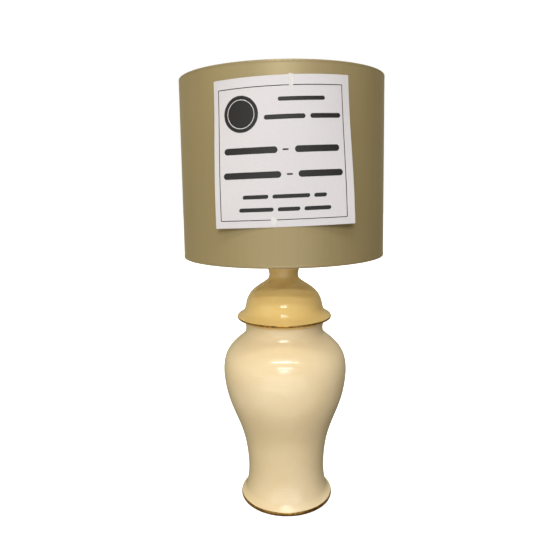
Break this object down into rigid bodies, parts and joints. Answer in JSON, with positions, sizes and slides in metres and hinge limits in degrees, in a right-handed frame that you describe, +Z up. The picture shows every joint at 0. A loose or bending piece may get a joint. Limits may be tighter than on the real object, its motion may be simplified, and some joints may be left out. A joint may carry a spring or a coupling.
{
  "type": "table lamp",
  "caption": "Table lamp with a lidded baluster jar base in cream glaze, a switched bayonet lampholder and a fabric drum shade that turns on its clamp ring.",
  "frame": {"origin": "centre of the round foot, on the surface the lamp stands on", "axes": "+Z up along the lamp's axis, -Y the front with the card, +Y the back with the cord gland, +X to the right seen from the front"},
  "size_m": [0.35, 0.3501, 0.752],
  "materials": {
    "felt_pad": "felt",
    "jar_body": "cream glaze with a gilt line round the foot",
    "lid": "cream glaze with a gilt line round the rim",
    "cord_grommet": "moulded",
    "threaded_rod": "zinc plated",
    "bottom_washer": "zinc plated",
    "bottom_nut": "zinc plated",
    "neck_cap": "polished",
    "top_locknut": "satin",
    "holder_cap": "polished",
    "cap_set_screw": "satin",
    "holder_barrel": "polished",
    "switch_block": "moulded phenolic",
    "switch_bar": "moulded",
    "contact_carrier": "pressed porcelain",
    "contact_plungers": "satin",
    "contact_springs": "spring steel",
    "terminals": "satin",
    "terminal_screws": "zinc plated",
    "inner_leads": "insulated cores",
    "fitter_ring": "white",
    "fitter_spokes": "white",
    "bottom_wire_ring": "white",
    "top_wire_ring": "white",
    "shade_liner": "backing sheet",
    "shade_fabric": "satin weave",
    "bottom_edge_roll": "satin weave",
    "top_edge_roll": "satin weave",
    "shade_seam": "satin weave",
    "shade_ring": "satin",
    "sample_card": "printed card with no words",
    "card_tapes": "clear adhesive tape",
    "bulb_cap": "satin",
    "bulb_insulator": "vitreous",
    "bulb_contacts": "solder",
    "bulb_glass": "clear",
    "filament_stem": "clear",
    "filaments": "phosphor coated",
    "filament_wires": "drawn wire"
  },
  "bodies": {
    "base": {"felt_pad": "felt_pad", "jar_body": "jar_body", "lid": "lid", "cord_grommet": "cord_grommet", "threaded_rod": "threaded_rod", "bottom_washer": "bottom_washer", "bottom_nut": "bottom_nut", "neck_cap": "neck_cap", "top_locknut": "top_locknut", "holder_cap": "holder_cap", "cap_set_screw": "cap_set_screw", "holder_barrel": "holder_barrel", "switch_block": "switch_block", "contact_carrier": "contact_carrier", "contact_springs": "contact_springs", "terminals": "terminals", "terminal_screws": "terminal_screws", "inner_leads": "inner_leads"},
    "push_bar": {"switch_bar": "switch_bar"},
    "clamp_ring": {"shade_ring": "shade_ring"},
    "shade": {"fitter_ring": "fitter_ring", "fitter_spokes": "fitter_spokes", "bottom_wire_ring": "bottom_wire_ring", "top_wire_ring": "top_wire_ring", "shade_liner": "shade_liner", "shade_fabric": "shade_fabric", "bottom_edge_roll": "bottom_edge_roll", "top_edge_roll": "top_edge_roll", "shade_seam": "shade_seam", "sample_card": "sample_card", "card_tapes": "card_tapes"},
    "contacts": {"contact_plungers": "contact_plungers"},
    "bulb": {"bulb_cap": "bulb_cap", "bulb_insulator": "bulb_insulator", "bulb_contacts": "bulb_contacts", "bulb_glass": "bulb_glass", "filament_stem": "filament_stem", "filaments": "filaments", "filament_wires": "filament_wires"}
  },
  "joints": [
    {"name": "switch_push", "type": "slide", "parent": "base", "child": "push_bar", "axis": [1, 0, 0], "range_m": [0, 0.006]},
    {"name": "shade_turn", "type": "hinge", "parent": "base", "child": "shade", "pos_m": [0, 0, 0.4859], "axis": [0, 0, 1], "continuous": true},
    {"name": "clamp_ring_turn", "type": "hinge", "parent": "base", "child": "clamp_ring", "pos_m": [0, 0, 0.4896], "axis": [0, 0, 1], "continuous": true},
    {"name": "contact_press", "type": "slide", "parent": "base", "child": "contacts", "axis": [0, 0, 1], "range_m": [-0.0025, 0], "stiffness_N_per_m": 1500, "springref_m": 0.003, "deforming": ["contact_springs"]},
    {"name": "bulb_twist", "type": "hinge", "parent": "contacts", "child": "bulb", "pos_m": [0, 0, 0.4996], "axis": [0, 0, 1], "range_deg": [-18, 0]}
  ]
}
